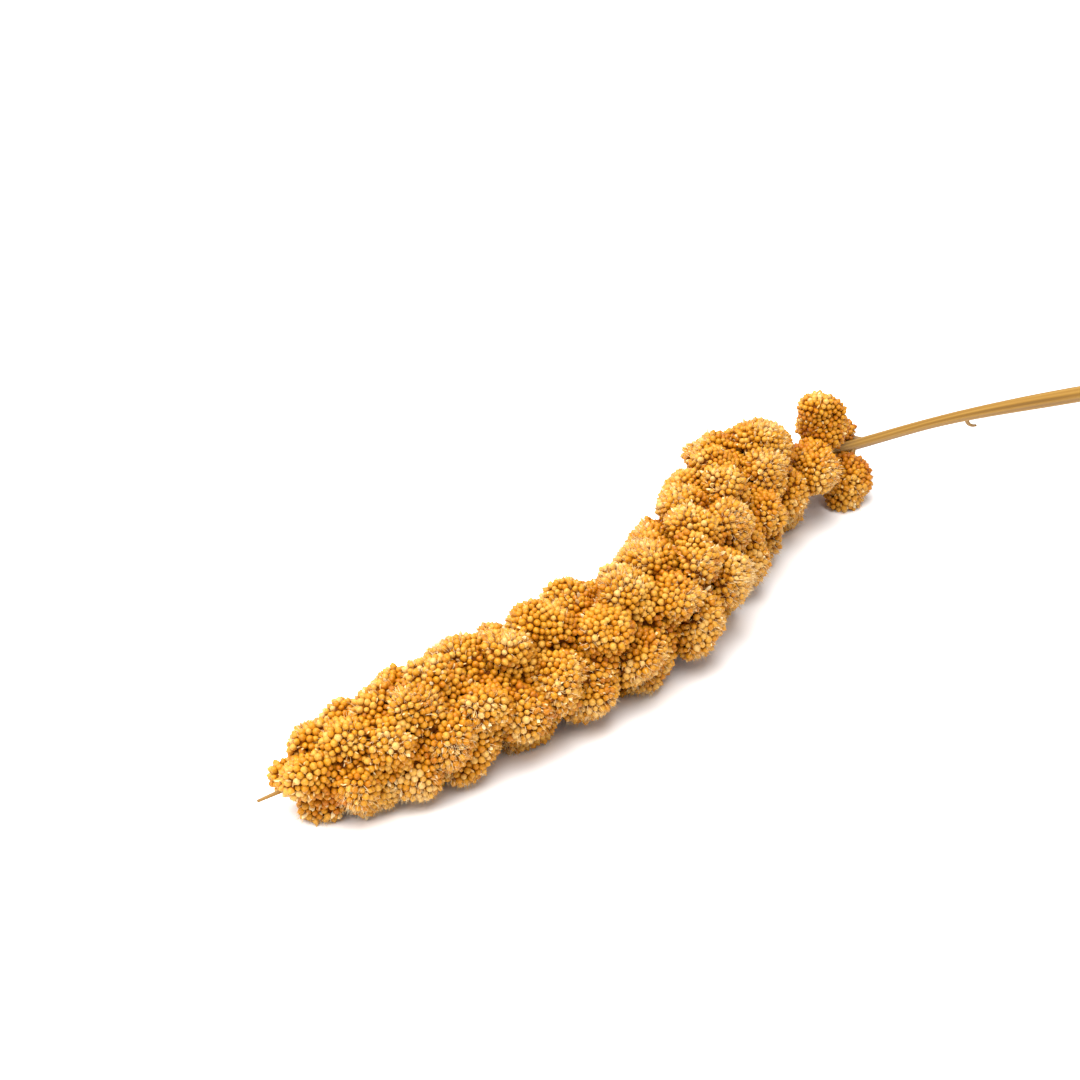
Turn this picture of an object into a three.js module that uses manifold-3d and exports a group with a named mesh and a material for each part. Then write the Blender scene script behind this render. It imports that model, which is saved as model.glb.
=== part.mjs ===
// A dried foxtail millet seed head, cut with a length of its stem and lying on a flat surface.
// Millimetres, +Z up. X runs from the head's tip towards the stem's cut end, z = 0 is the surface it lies on,
// and the origin is under the middle of its bounding box.
//
// The straw-coloured stem runs on through the head as its rachis. Round it stand the seed clusters, short
// side branches packed with grain. In the dense head they press together and make one body with clefts
// between them. Below it the lowest ones stand apart, each on its own branchlet.

import * as THREE from "three";
import { mergeVertices } from "three/addons/utils/BufferGeometryUtils.js";
import Module from "manifold-3d";

const wasm = await Module();
wasm.setup();
const { degToRad, clamp, lerp, smoothstep } = THREE.MathUtils;

// The axis as it lies, from the head's tip to the stem's cut end, with its height over the surface
const AXIS_POINTS = [
  [0, -2, 8.8],
  [22, -7.8, 12.4],
  [84, -9, 14.4],
  [112, -7, 14.8],
  [140, 6, 14.8],
  [187, 27, 14.8],
  [219, 23.5, 12.7],
  [259, 17, 11.4],
  [322, -5, 10.5],
];

// Dense head: a blunt tip that swells quickly, then widens slowly to the base. Lengths start at the tip.
const DENSE_LENGTH = 206;
const TIP_RADIUS = 6;
const TIP_SWELL = 8.8;
const TIP_SWELL_LENGTH = 14;
const FLARE = 0.011; // radius gained for each millimetre of length
const CORE_SHARE = 0.55; // radius of the solid core as a share of the head's
const TIP_CAP = 9; // where the rounded tip is struck from
const BASE_CAP = 198.5; // where the rounded base is struck from, at the lowest dense cluster

// Seed clusters of the dense head
const CLUSTER_AT_TIP = 4.8; // half width of a cluster
const CLUSTER_AT_BASE = 7.4;
const CLUSTER_GROWTH_LENGTH = 70; // where the clusters reach their full size
const CLUSTER_STRETCH = 1.35; // length over width
const CLUSTER_LEAN = degToRad(60); // towards the tip
const CLUSTER_PACKING = 0.9; // spacing over width, so that neighbours press together
const CLUSTER_WOBBLE = 0.26; // share by which size and place vary
const CLEFT_DEPTH = 1.8; // of the dip between two clusters
const CLEFT_WIDTH = 1.6; // how unlike they may reach where the dip ends
const GOLDEN_ANGLE = Math.PI * (3 - Math.sqrt(5));
const CLOSE_PACKING = Math.sqrt(3) / 2; // area that each of many even circles takes, over its width squared

// Seed clusters that stand apart below the dense head
const LOOSE_COUNT = 5;
const LOOSE_START = 207;
const LOOSE_PITCH = 5.5;
const LOOSE_FIRST_TURN = degToRad(175);
const LOOSE_HALF = 6.2; // half width of the first one
const LOOSE_SHRINK = 0.25; // by how much each next one is smaller
const LOOSE_STRETCH = 1.6;
const LOOSE_LEAN = degToRad(36);
const LOOSE_OUT = 9.6; // from the axis to the cluster's middle

// Grain, larger than life: crowns over a net of dips
const GRAIN_COLUMNS = 48; // net points round the dense head, of which every third is a crown
const GRAIN_ROWS = 108; // steps of the net along it
const CAP_ROWS = 5; // of these, for each rounded end
const GRAIN_RISE = 0.7;
const GRAIN_DIP = 0.5;
const LOOSE_COLUMNS = 15; // the same net on a cluster that stands apart
const LOOSE_ROWS = 9;

// Stem and rachis
const RACHIS_TIP_REACH = 6.5; // how far the bare rachis shows past the tip
const RACHIS_TIP_RADIUS = 0.5;
const NECK_RADIUS = 1.5; // below the dense head
const NECK_END = 255;
const STEM_RADIUS = 2.3;
const STEM_START = 312;
const STEM_SIDES = 8;
const STEM_STEPS = 44;
const BRANCHLET_RADIUS = 0.8;
const BRANCHLET_SIDES = 6;
const STUB = { at: 273, turn: degToRad(-80), length: 6, radius: 0.8 }; // dried stub of a lost branchlet
const GAP = 0.3; // between neighbouring pieces
const SURFACE_SIZE = 1000; // of the block that stands for what the part lies on
const WELD = 1e-4; // corners closer than this are one

const STRAW = new THREE.MeshStandardMaterial({ color: 0xb8903f, roughness: 0.6, metalness: 0 });
const GOLD = new THREE.MeshStandardMaterial({ color: 0xcf9038, roughness: 0.7, metalness: 0 });

// Solids

// Returns a geometry as a solid that can be joined and cut.
function solid(geometry) {
  const plain = geometry.clone();
  plain.deleteAttribute("normal");
  plain.deleteAttribute("uv");
  const merged = mergeVertices(plain, WELD);
  const vertProperties = new Float32Array(merged.attributes.position.array);
  const triVerts = new Uint32Array(merged.index.array);
  return new wasm.Manifold(new wasm.Mesh({ numProp: 3, vertProperties, triVerts }));
}

// Returns the largest body of a solid, without any scraps a cut has left, as a named mesh.
function node(name, made, material) {
  const body = made.decompose().sort((a, b) => b.volume() - a.volume())[0];
  const { numProp, vertProperties, triVerts } = body.getMesh();
  const corners = new THREE.InterleavedBuffer(vertProperties, numProp);
  const indexed = new THREE.BufferGeometry();
  indexed.setAttribute("position", new THREE.InterleavedBufferAttribute(corners, 3, 0));
  indexed.setIndex(new THREE.BufferAttribute(triVerts, 1));
  const geometry = indexed.toNonIndexed();
  geometry.computeVertexNormals();
  const mesh = new THREE.Mesh(geometry, material);
  mesh.name = name;
  return mesh;
}

// A fixed number from -1 to 1 for each pair of whole numbers, so that every build varies alike.
function vary(index, channel) {
  const wave = Math.sin(index * 12.9898 + channel * 78.233) * 43758.5453;
  return 2 * (wave - Math.floor(wave)) - 1;
}

// The axis

const UP = new THREE.Vector3(0, 0, 1);
const axis = new THREE.CatmullRomCurve3(AXIS_POINTS.map((p) => new THREE.Vector3(...p)));
const axisLength = axis.getLength();

// Place and directions at a distance along the axis, which runs straight on past its ends.
function station(distance) {
  const share = clamp(distance / axisLength, 0, 1);
  const along = axis.getTangentAt(share);
  const side = new THREE.Vector3().crossVectors(UP, along).normalize();
  const over = new THREE.Vector3().crossVectors(along, side);
  const point = axis.getPointAt(share).addScaledVector(along, distance - share * axisLength);
  return { point, along, side, over };
}

// The direction that stands out from the axis at a turn about it: 0 is sideways and a quarter turn is up.
function outward({ side, over }, turn) {
  return side.clone().multiplyScalar(Math.cos(turn)).addScaledVector(over, Math.sin(turn));
}

// A round bar along the axis whose radius follows a rule of the distance.
function bar(from, to, radiusAt) {
  const geometry = new THREE.CylinderGeometry(1, 1, 1, STEM_SIDES, STEM_STEPS);
  const { position } = geometry.attributes;
  for (let i = 0; i < position.count; i++) {
    const distance = lerp(to, from, position.getY(i) + 0.5);
    const radius = radiusAt(distance);
    const { point, side, over } = station(distance);
    point.addScaledVector(side, radius * position.getX(i));
    point.addScaledVector(over, radius * position.getZ(i));
    position.setXYZ(i, point.x, point.y, point.z);
  }
  return solid(geometry);
}

// A straight round peg between two points.
function peg(from, to, rootRadius, endRadius) {
  const path = new THREE.Vector3().subVectors(to, from);
  const geometry = new THREE.CylinderGeometry(endRadius, rootRadius, path.length(), BRANCHLET_SIDES);
  geometry.translate(0, path.length() / 2, 0);
  const way = new THREE.Quaternion().setFromUnitVectors(new THREE.Vector3(0, 1, 0), path.normalize());
  geometry.applyQuaternion(way);
  return solid(geometry.translate(from.x, from.y, from.z));
}

// Seed clusters

// The root, middle and shape of a cluster: its branch leaves the axis and leans towards the tip.
function place({ at, turn, half, out, lean, stretch }) {
  const here = station(at);
  const outwards = outward(here, turn);
  const branch = outwards.clone().multiplyScalar(Math.cos(lean)).addScaledVector(here.along, -Math.sin(lean));
  const across = new THREE.Vector3().crossVectors(here.along, outwards).normalize();
  const third = new THREE.Vector3().crossVectors(branch, across);
  const middle = here.point.clone().addScaledVector(outwards, out);
  const root = middle.clone().addScaledVector(branch, -out / Math.cos(lean));
  const size = new THREE.Vector3(half, half * stretch, half);
  const shape = new THREE.Matrix4().makeBasis(third, branch, across).scale(size).setPosition(middle);
  return { root, middle, branch, shape };
}

function headRadius(distance) {
  return TIP_RADIUS + TIP_SWELL * (1 - Math.exp(-distance / TIP_SWELL_LENGTH)) + FLARE * distance;
}

function clusterHalf(distance) {
  return lerp(CLUSTER_AT_TIP, CLUSTER_AT_BASE, smoothstep(distance, 0, CLUSTER_GROWTH_LENGTH));
}

// The clusters of the dense head, set round the axis by the golden angle from the tip to the base.
function denseClusters() {
  const clusters = [];
  let at = CLUSTER_AT_TIP;
  for (let i = 0; at < BASE_CAP; i++) {
    const usual = clusterHalf(at);
    const half = usual * (1 + CLUSTER_WOBBLE * vary(i, 1));
    const reach = half * Math.hypot(CLUSTER_STRETCH * Math.cos(CLUSTER_LEAN), Math.sin(CLUSTER_LEAN));
    clusters.push({
      at: at + usual * CLUSTER_WOBBLE * vary(i, 2),
      turn: i * GOLDEN_ANGLE + CLUSTER_WOBBLE * vary(i, 3),
      half,
      out: Math.max(headRadius(at) - reach, 0),
      lean: CLUSTER_LEAN,
      stretch: CLUSTER_STRETCH,
    });
    const spacing = 2 * usual * CLUSTER_PACKING;
    const girth = 2 * Math.PI * Math.max(headRadius(at) - usual, usual);
    at += (CLOSE_PACKING * spacing ** 2) / girth;
  }
  return clusters;
}

// The clusters below it, which carry on round the axis by the same angle.
function looseClusters() {
  return Array.from({ length: LOOSE_COUNT }, (_, i) => ({
    at: LOOSE_START + i * LOOSE_PITCH,
    turn: LOOSE_FIRST_TURN + i * GOLDEN_ANGLE,
    half: LOOSE_HALF - i * LOOSE_SHRINK,
    out: LOOSE_OUT,
    lean: LOOSE_LEAN,
    stretch: LOOSE_STRETCH,
  }));
}

// How far a cluster reaches from a point in a direction, or 0 where it isn't met.
function reachOf(toBall, point, direction) {
  const start = point.clone().applyMatrix4(toBall);
  const step = point.clone().add(direction).applyMatrix4(toBall).sub(start);
  const square = step.lengthSq();
  const half = start.dot(step);
  const under = half * half - square * (start.lengthSq() - 1);
  return under > 0 ? (Math.sqrt(under) - half) / square : 0;
}

// The ray from the axis on which a net point of the dense head's skin lies. Rows run from the tip to the
// base, each half a column further round, and both ends are rounded.
function skinRay(column, row) {
  const turn = (-2 * Math.PI * (column - row / 2)) / GRAIN_COLUMNS;
  const share = clamp((row - CAP_ROWS) / (GRAIN_ROWS - 2 * CAP_ROWS), 0, 1);
  const distance = lerp(TIP_CAP, BASE_CAP, share);
  const toTip = clamp(1 - row / CAP_ROWS, 0, 1);
  const toBase = clamp(1 - (GRAIN_ROWS - row) / CAP_ROWS, 0, 1);
  const tilt = ((toTip - toBase) * Math.PI) / 2;
  const here = station(distance);
  const direction = outward(here, turn).multiplyScalar(Math.cos(tilt));
  direction.addScaledVector(here.along, -Math.sin(tilt));
  return { point: here.point, direction, distance };
}

// A closed skin on a net of points, of which every third is a grain's crown with dips all round it.
function grainSkin(columns, rows, pointAt) {
  const geometry = new THREE.SphereGeometry(1, columns, rows);
  const { position } = geometry.attributes;
  for (let i = 0; i < position.count; i++) {
    const column = i % (columns + 1);
    const row = Math.floor(i / (columns + 1));
    const pole = row === 0 || row === rows;
    const crown = !pole && (column + row) % 3 === 0;
    const point = pointAt(column, row, crown ? GRAIN_RISE : -GRAIN_DIP);
    position.setXYZ(i, point.x, point.y, point.z);
  }
  return solid(geometry);
}

// The dense head: a skin over its clusters and core, with clefts between the clusters, flat where it meets
// the surface.
function denseHead(margin) {
  const toBalls = denseClusters().map((cluster) => place(cluster).shape.invert());
  return grainSkin(GRAIN_COLUMNS, GRAIN_ROWS, (column, row, relief) => {
    const { point, direction, distance } = skinRay(column, row);
    const reaches = toBalls.map((toBall) => reachOf(toBall, point, direction)).sort((a, b) => b - a);
    const cleft = CLEFT_DEPTH * clamp(1 - (reaches[0] - reaches[1]) / CLEFT_WIDTH, 0, 1);
    const reach = Math.max(CORE_SHARE * headRadius(distance), reaches[0] - cleft) + relief + margin;
    const drop = direction.z < 0 ? -point.z / direction.z : Infinity;
    return point.addScaledVector(direction, Math.min(reach, drop));
  });
}

// A cluster that stands apart.
function looseCluster(cluster) {
  const { shape } = place(cluster);
  return grainSkin(LOOSE_COLUMNS, LOOSE_ROWS, (column, row, relief) => {
    const turn = (2 * Math.PI * (column - row / 2)) / LOOSE_COLUMNS;
    const fromEnd = (Math.PI * row) / LOOSE_ROWS;
    const radius = 1 + relief / cluster.half;
    return new THREE.Vector3().setFromSphericalCoords(radius, fromEnd, turn).applyMatrix4(shape);
  });
}

// Pieces

function rachisRadius(distance) {
  const inHead = clamp(distance / DENSE_LENGTH, 0, 1);
  const belowNeck = smoothstep(distance, NECK_END, STEM_START);
  return lerp(RACHIS_TIP_RADIUS, NECK_RADIUS, inHead) + (STEM_RADIUS - NECK_RADIUS) * belowNeck;
}

// The stem with its branchlets. A margin makes it larger all round, as the hole that it needs.
function stem(margin) {
  const parts = [bar(-RACHIS_TIP_REACH - margin, axisLength, (d) => rachisRadius(d) + margin)];
  for (const { root, middle, branch } of looseClusters().map(place)) {
    const radius = BRANCHLET_RADIUS + margin;
    parts.push(peg(root, middle.addScaledVector(branch, margin), radius, radius));
  }
  const stubHere = station(STUB.at);
  const stubWay = outward(stubHere, STUB.turn).addScaledVector(stubHere.along, 1).normalize();
  const stubEnd = stubHere.point.clone().addScaledVector(stubWay, STUB.length);
  parts.push(peg(stubHere.point, stubEnd, STUB.radius, STUB.radius / 2));
  return wasm.Manifold.union(parts);
}

function pieces() {
  const hole = stem(GAP);
  const block = new THREE.BoxGeometry(SURFACE_SIZE, SURFACE_SIZE, SURFACE_SIZE);
  const surface = solid(block.translate(0, 0, -SURFACE_SIZE / 2));
  const made = [node("stem", stem(0), STRAW), node("seed_head", denseHead(0).subtract(hole), GOLD)];
  const taken = wasm.Manifold.union([hole, surface, denseHead(GAP)]);
  looseClusters().forEach((cluster, i) => {
    made.push(node(`basal_cluster_${i + 1}`, looseCluster(cluster).subtract(taken), GOLD));
  });
  return made;
}

const group = new THREE.Group();
group.add(...pieces());
const box = new THREE.Box3().setFromObject(group);
const middle = box.getCenter(new THREE.Vector3());
for (const piece of group.children) piece.geometry.translate(-middle.x, -middle.y, -box.min.z);

export default group;
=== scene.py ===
# A dried foxtail millet seed head, dressed over its solids: thousands of grains on a bed of chaff, painted
# dark as shade in its clefts, with pale bristles and husks between them, on a ridged straw stem. It lies on
# a pale floor in soft light.
# Sizes are in millimetres in the head's own frame, and MM turns them into the solids' metres.

import math
from bisect import bisect_right

import bpy
import numpy as np
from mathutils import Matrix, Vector


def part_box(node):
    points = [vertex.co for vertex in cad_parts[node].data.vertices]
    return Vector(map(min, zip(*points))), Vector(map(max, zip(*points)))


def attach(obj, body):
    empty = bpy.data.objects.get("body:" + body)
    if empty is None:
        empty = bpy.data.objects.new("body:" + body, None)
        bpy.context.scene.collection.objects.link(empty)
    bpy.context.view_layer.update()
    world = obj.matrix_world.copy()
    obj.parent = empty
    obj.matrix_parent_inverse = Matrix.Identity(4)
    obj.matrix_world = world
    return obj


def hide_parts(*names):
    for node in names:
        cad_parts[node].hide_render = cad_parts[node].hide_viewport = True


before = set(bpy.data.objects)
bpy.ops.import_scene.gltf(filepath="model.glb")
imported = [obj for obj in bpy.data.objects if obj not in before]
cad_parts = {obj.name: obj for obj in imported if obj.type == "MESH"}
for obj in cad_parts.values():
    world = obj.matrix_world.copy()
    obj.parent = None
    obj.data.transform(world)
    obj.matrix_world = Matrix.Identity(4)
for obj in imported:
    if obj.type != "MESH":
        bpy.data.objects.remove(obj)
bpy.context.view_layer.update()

MM = 0.001

# The axis as it lies, from the head's tip to the stem's cut end, with its height over the floor
AXIS_POINTS = [
    (0, -2, 8.8),
    (22, -7.8, 12.4),
    (84, -9, 14.4),
    (112, -7, 14.8),
    (140, 6, 14.8),
    (187, 27, 14.8),
    (219, 23.5, 12.7),
    (259, 17, 11.4),
    (322, -5, 10.5),
]
STRETCH_STEPS = 100  # steps between two of these points
TANGENT_STEP = 0.5  # to each side of a place, for the axis's direction there

# Dense head, as in the solids: a blunt tip that swells quickly, then widens slowly to the base
DENSE_LENGTH = 206
TIP_RADIUS = 6
TIP_SWELL = 8.8
TIP_SWELL_LENGTH = 14
FLARE = 0.011
BASE_CAP = 198.5

# Seed clusters of the dense head
CLUSTER_AT_TIP = 4.8
CLUSTER_AT_BASE = 7.4
CLUSTER_GROWTH_LENGTH = 70
CLUSTER_STRETCH = 1.35
CLUSTER_LEAN = math.radians(60)
CLUSTER_PACKING = 0.9
CLUSTER_WOBBLE = 0.26
GOLDEN_ANGLE = math.pi * (3 - math.sqrt(5))
CLOSE_PACKING = math.sqrt(3) / 2

# Seed clusters that stand apart below it
LOOSE_COUNT = 5
LOOSE_START = 207
LOOSE_PITCH = 5.5
LOOSE_FIRST_TURN = math.radians(175)
LOOSE_HALF = 6.2
LOOSE_SHRINK = 0.25
LOOSE_STRETCH = 1.6
LOOSE_LEAN = math.radians(36)
LOOSE_OUT = 9.6

# Bed of chaff that the grains stand in
BED_DEPTH = 0.6  # below the clusters' own outline
CLEFT_AT_TIP = 0.06  # width of the cleft between two clusters, as a share of their half width
CLEFT_AT_BASE = 0.31
BED_LUMP = 1.1  # height of its small lumps
BED_LUMP_SIZE = 5
BED_FLOOR = 0.9  # where it is pressed flat over the floor
BALL_SEGMENTS = 26
BALL_RINGS = 18
CORE_AT_TIP = 3  # depth below the head's outline of the core that closes the gaps between clusters
CORE_AT_BASE = 7.5
CORE_START = 2
CORE_STEPS = 70
LOOK_CLEAR = 0.3  # how far over the bed a look across it starts
OPEN_WIDTH = 6  # its colour is painted darker, as shade, where it faces itself closer than this
BURIED_GRAIN = 1.5  # width of the grains that are buried in it

# Grains
GRAIN_WIDTH = 1.66
GRAIN_STRETCH = 1.12  # height over width
GRAIN_BEAK = 0.12  # how far its tip is drawn out, as a share of its height
BEAK_START = 0.4  # height over the middle of a bead of width 1 from which it is drawn out
GRAIN_SPACING = 1.4
GRAIN_TIGHTEST = 0.82  # share of the spacing that two grains keep before they settle
GRAIN_CANDIDATES = 12  # places tried for each square of that spacing
GRAIN_STAND = 0.35  # of a grain's middle over the bed
GRAIN_STAND_VARIATION = 0.22
GRAIN_VARIATION = 0.18
GRAIN_TILT = math.radians(26)
GRAIN_SEGMENTS = 8
GRAIN_RINGS = 4
CREVICE_WIDTH = 1.2  # nothing grows where the bed faces itself closer than this
BODY_WIDTH = 20  # more than the width of a cluster, in which nothing grows
SETTLE_ROUNDS = 30
SETTLE_SHARE = 0.5  # of a missing distance that each of two grains gives way
INNER_SHARE = -0.55  # a face that turns further from its cluster's way than this bears nothing
PIECE_ENDS = [62, 112, 158]  # where the pieces of the dense head's grain part, along X
FAR = 1.0  # past either end of the head, in metres

# Bristles and husks
BRISTLE_LENGTH = 2.5
BRISTLE_WIDTH = 0.19
BRISTLE_DENSITY = 4.6  # for each square millimetre of a full patch
BRISTLE_TILT = math.radians(38)
BRISTLE_PATCHES = (0.42, 0.62)  # noise at a patch's edge and where it is full
HUSK_LENGTH = 2.1
HUSK_WIDTH = 0.9
HUSK_THICKNESS = 0.35  # over its width
HUSK_LIFT = 0.35  # of its middle over the bed, as a share of its length
HUSK_DENSITY = 0.42
HUSK_TILT = math.radians(40)
HUSK_PATCHES = (0.35, 0.7)
HUSK_PATCH_SHIFT = 50  # between the noise of the husks' patches and that of the bristles'
PATCH_SIZE = 11
SHORTEST = 0.6  # length of single bristles and husks over the usual one
LONGEST = 1.15
TUFT_START = 0.3  # how far a face turns to its cluster's bristly end, from where the bristles begin
TUFT_FULL = 0.85
TUFT_LEAN = 0.6  # how far the bristles lean that way

# Stem and rachis
RACHIS_TIP_REACH = 6.5
RACHIS_TIP_RADIUS = 0.5
SPUR_TAPER = 0.3  # share of its radius that the bare tip loses
NECK_RADIUS = 1.5
NECK_END = 255
STEM_RADIUS = 2.3
STEM_START = 312
CAD_STEM_SIDES = 8
CAD_STEM_STEPS = 44
STALK_SIDES = 40
STALK_STEP = 2.5
STALK_RIDGES = 9
STALK_RIDGE_DEPTH = 0.02
SIDE_CORNERS = 4  # a stalk's face with more corners than this is an end
STREAKS_AROUND = 2.4
STREAK_CHANGE = 12  # along the stalk, for each metre
BRANCHLET_RADIUS = 0.8
STUB_AT = 273
STUB_TURN = math.radians(-80)
STUB_LENGTH = 6
STUB_BEND = 0.72  # radius of its quarter turn over its length
STUB_RADIUS = 0.8
STUB_TAPER = 0.55
STUB_STEPS = 8
PITH_SHARE = 0.78  # of the cut end's width
PITH_DEPTH = 0.4

# Seeds of the random draws
PLACE_SEED = 3
GRAIN_SIZE_SEED = 11
GRAIN_TURN_SEED = 21
GRAIN_TONE_SEED = 31
GRAIN_STAND_SEED = 71
BRISTLE_SEED = 5
HUSK_SEED = 7
SCATTER_LENGTH_SEED = 41
SCATTER_TURN_SEED = 51
SCATTER_TONE_SEED = 61

# Camera, found from the photograph's view
CAMERA_PLACE = (-279.8, -365.4, 290)
CAMERA_TURN = (math.radians(64), 0, math.radians(-44.4))
CAMERA_LENS = 83.33

# Floor and light, in metres and watts
FLOOR_HALF = 3
LIGHT_PLACE = (-0.46, 0.03, 1.0)
LIGHT_SIZE = 1.6
LIGHT_POWER = 38
ROOM_BRIGHTNESS = 0.62

UP = Vector((0, 0, 1))
FULL_TURN = 2 * math.pi
TINY = 1e-9


# Small sums


def clamp(value, low, high):
    return max(low, min(high, value))


def lerp(low, high, share):
    return low + (high - low) * share


def smoothstep(value, low, high):
    share = clamp((value - low) / (high - low), 0, 1)
    return share * share * (3 - 2 * share)


def vary(index, channel):
    """A fixed number from -1 to 1 for each pair of whole numbers, by the usual hash of a sine."""
    wave = math.sin(index * 12.9898 + channel * 78.233) * 43758.5453
    return 2 * (wave - math.floor(wave)) - 1


# The axis


def curve_point(points, share):
    """A point on the smooth stretch between the second and third of four points (a centripetal spline)."""
    knots = [0]
    for a, b in zip(points, points[1:]):
        knots.append(knots[-1] + math.sqrt((b - a).length))
    here = lerp(knots[1], knots[2], share)
    for spans in ([(0, 1), (1, 2), (2, 3)], [(0, 2), (1, 3)], [(1, 2)]):
        shares = [(here - knots[low]) / (knots[high] - knots[low]) for low, high in spans]
        points = [a.lerp(b, s) for a, b, s in zip(points, points[1:], shares)]
    return points[0]


def sample_axis():
    """Close points along the axis, and the distance of each from the tip."""
    given = [Vector(p) for p in AXIS_POINTS]
    ends = [2 * given[0] - given[1], *given, 2 * given[-1] - given[-2]]
    points = [given[0]]
    for i in range(len(given) - 1):
        for step in range(1, STRETCH_STEPS + 1):
            points.append(curve_point(ends[i : i + 4], step / STRETCH_STEPS))
    distances = [0]
    for a, b in zip(points, points[1:]):
        distances.append(distances[-1] + (b - a).length)
    return points, distances


axis_points, axis_distances = sample_axis()
axis_length = axis_distances[-1]


def axis_point(distance):
    """The point at a distance along the axis, which runs straight on past its ends."""
    i = clamp(bisect_right(axis_distances, distance) - 1, 0, len(axis_distances) - 2)
    start, end = axis_distances[i], axis_distances[i + 1]
    return axis_points[i].lerp(axis_points[i + 1], (distance - start) / (end - start))


def station(distance):
    """Place and directions at a distance along the axis."""
    along = (axis_point(distance + TANGENT_STEP) - axis_point(distance - TANGENT_STEP)).normalized()
    side = UP.cross(along).normalized()
    over = along.cross(side)
    return axis_point(distance), along, side, over


def outward(side, over, turn):
    """The direction that stands out from the axis: a turn of 0 is sideways and a quarter turn is up."""
    return side * math.cos(turn) + over * math.sin(turn)


def rachis_radius(distance):
    in_head = clamp(distance / DENSE_LENGTH, 0, 1)
    below_neck = smoothstep(distance, NECK_END, STEM_START)
    return lerp(RACHIS_TIP_RADIUS, NECK_RADIUS, in_head) + (STEM_RADIUS - NECK_RADIUS) * below_neck


def find_shift():
    """How far the solids' frame lies from the axis's own, from the low corner of the stem's box."""
    corners = []
    for step in range(CAD_STEM_STEPS + 1):
        distance = lerp(-RACHIS_TIP_REACH, axis_length, step / CAD_STEM_STEPS)
        point, _, side, over = station(distance)
        for i in range(CAD_STEM_SIDES):
            turn = FULL_TURN * i / CAD_STEM_SIDES
            corners.append(point + outward(side, over, turn) * rachis_radius(distance))
    low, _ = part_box("stem")
    least_x = min(corner.x for corner in corners)
    least_y = min(corner.y for corner in corners)
    return Vector((least_x - low.x / MM, least_y - low.y / MM, 0))


shift = find_shift()


def to_frame(point):
    """A point of the axis's own frame in the solids' frame and in metres."""
    return (point - shift) * MM


# Seed clusters


def head_radius(distance):
    """From the axis to the dense head's outline."""
    return TIP_RADIUS + TIP_SWELL * (1 - math.exp(-distance / TIP_SWELL_LENGTH)) + FLARE * distance


def grown(at_tip, at_base, distance):
    """A size that grows from the tip on until the clusters have their full size."""
    return lerp(at_tip, at_base, smoothstep(distance, 0, CLUSTER_GROWTH_LENGTH))


def place_cluster(at, turn, half, out, lean, stretch):
    """A cluster's root, middle, ways and sizes. Its branch leaves the axis and leans towards the tip."""
    point, along, side, over = station(at)
    outwards = outward(side, over, turn)
    branch = outwards * math.cos(lean) - along * math.sin(lean)
    across = along.cross(outwards).normalized()
    middle = point + outwards * out
    return {
        "root": middle - branch * (out / math.cos(lean)),
        "middle": middle,
        "outwards": outwards,
        "bristly": (branch + outwards).normalized(),
        "shape": [across * half, branch.cross(across) * half, branch * half * stretch],
        "half": half,
        "cleft": grown(CLEFT_AT_TIP, CLEFT_AT_BASE, at),
    }


def dense_clusters():
    """The clusters of the dense head, set round the axis by the golden angle from the tip to the base."""
    clusters = []
    at = CLUSTER_AT_TIP
    while at < BASE_CAP:
        i = len(clusters)
        usual = grown(CLUSTER_AT_TIP, CLUSTER_AT_BASE, at)
        half = usual * (1 + CLUSTER_WOBBLE * vary(i, 1))
        reach = half * math.hypot(CLUSTER_STRETCH * math.cos(CLUSTER_LEAN), math.sin(CLUSTER_LEAN))
        clusters.append(
            place_cluster(
                at=at + usual * CLUSTER_WOBBLE * vary(i, 2),
                turn=i * GOLDEN_ANGLE + CLUSTER_WOBBLE * vary(i, 3),
                half=half,
                out=max(head_radius(at) - reach, 0),
                lean=CLUSTER_LEAN,
                stretch=CLUSTER_STRETCH,
            )
        )
        spacing = 2 * usual * CLUSTER_PACKING
        girth = FULL_TURN * max(head_radius(at) - usual, usual)
        at += CLOSE_PACKING * spacing**2 / girth
    return clusters


def loose_clusters():
    """The clusters below it, which carry on round the axis by the same angle."""
    clusters = []
    for i in range(LOOSE_COUNT):
        cluster = place_cluster(
            at=LOOSE_START + i * LOOSE_PITCH,
            turn=LOOSE_FIRST_TURN + i * GOLDEN_ANGLE,
            half=LOOSE_HALF - i * LOOSE_SHRINK,
            out=LOOSE_OUT,
            lean=LOOSE_LEAN,
            stretch=LOOSE_STRETCH,
        )
        cluster["outwards"] = Vector()  # no side is hidden, so grain stands all round
        clusters.append(cluster)
    return clusters


# Node trees

SOCKET_KINDS = {float: "NodeSocketFloat", int: "NodeSocketInt"}


def live_socket(sockets, key):
    """One of the sockets that a node uses, by its name or by its place among them."""
    live = [s for s in sockets if s.enabled]
    if isinstance(key, int):
        return live[key]
    return next(s for s in live if s.name == key)


def add(tree, kind, inputs=None, out=0, **settings):
    """Adds a node with these settings, feeds its inputs and returns one of its outputs."""
    node = tree.nodes.new(kind)
    for name, value in settings.items():
        setattr(node, name, value)
    for key, value in (inputs or {}).items():
        socket = live_socket(node.inputs, key)
        if isinstance(value, bpy.types.NodeSocket):
            tree.links.new(value, socket)
        else:
            socket.default_value = value
    return live_socket(node.outputs, out)


def sum_of(tree, operation, a, b):
    return add(tree, "ShaderNodeMath", {0: a, 1: b}, operation=operation)


def vector_sum(tree, operation, a, b):
    return add(tree, "ShaderNodeVectorMath", {0: a, 1: b}, operation=operation)


def scaled(tree, vector, factor):
    return add(tree, "ShaderNodeVectorMath", {0: vector, "Scale": factor}, operation="SCALE")


def vector_share(tree, first, second):
    """How far one direction turns to another, from -1 to 1."""
    return add(tree, "ShaderNodeVectorMath", {0: first, 1: second}, operation="DOT_PRODUCT", out="Value")


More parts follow.
